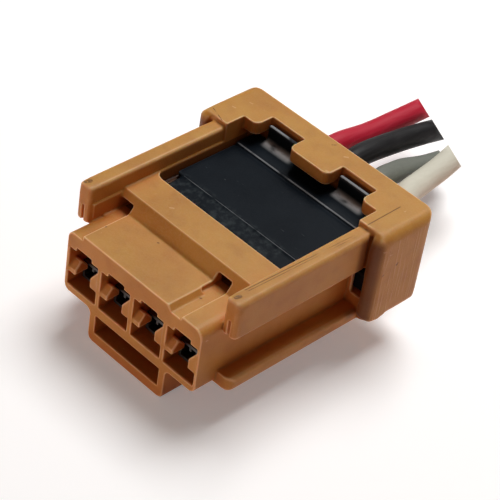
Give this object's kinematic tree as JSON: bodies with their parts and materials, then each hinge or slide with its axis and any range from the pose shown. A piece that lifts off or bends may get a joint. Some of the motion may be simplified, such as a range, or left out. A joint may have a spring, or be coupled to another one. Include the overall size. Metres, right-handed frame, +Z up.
{
  "type": "wire harness connector",
  "caption": "Tan cable connector housing with guide rails, keyed nose and lock sleeve, a black terminal retainer in its top window, and crimped receptacles on short cut wires.",
  "frame": {"origin": "middle of the housing's box, on the underside of the lock sleeve", "axes": "+X across the cavities, -Y out of the mating face, +Y towards the wires, +Z up through the retainer"},
  "size_m": [0.0346, 0.068, 0.0203],
  "materials": {
    "housing_tan": "moulded, satin",
    "retainer_black": "moulded, satin",
    "terminal_tin": "tin plated sheet",
    "conductor_copper": "bare copper strands",
    "insulation_red": "extruded, semi-gloss",
    "insulation_black": "extruded, semi-gloss",
    "insulation_grey": "extruded, semi-gloss",
    "insulation_white": "extruded, semi-gloss"
  },
  "bodies": {
    "connector": {"housing": "housing_tan", "terminal_1": "terminal_tin", "terminal_2": "terminal_tin", "terminal_3": "terminal_tin", "terminal_4": "terminal_tin", "conductor_1": "conductor_copper", "conductor_2": "conductor_copper", "conductor_3": "conductor_copper", "conductor_4": "conductor_copper", "wire_red": "insulation_red", "wire_black": "insulation_black", "wire_grey": "insulation_grey", "wire_white": "insulation_white"},
    "retainer": {"retainer": "retainer_black"}
  },
  "joints": [
    {"name": "retainer_slide", "type": "slide", "parent": "connector", "child": "retainer", "axis": [0, 0, 1], "range_m": [0, 0.0012]}
  ]
}
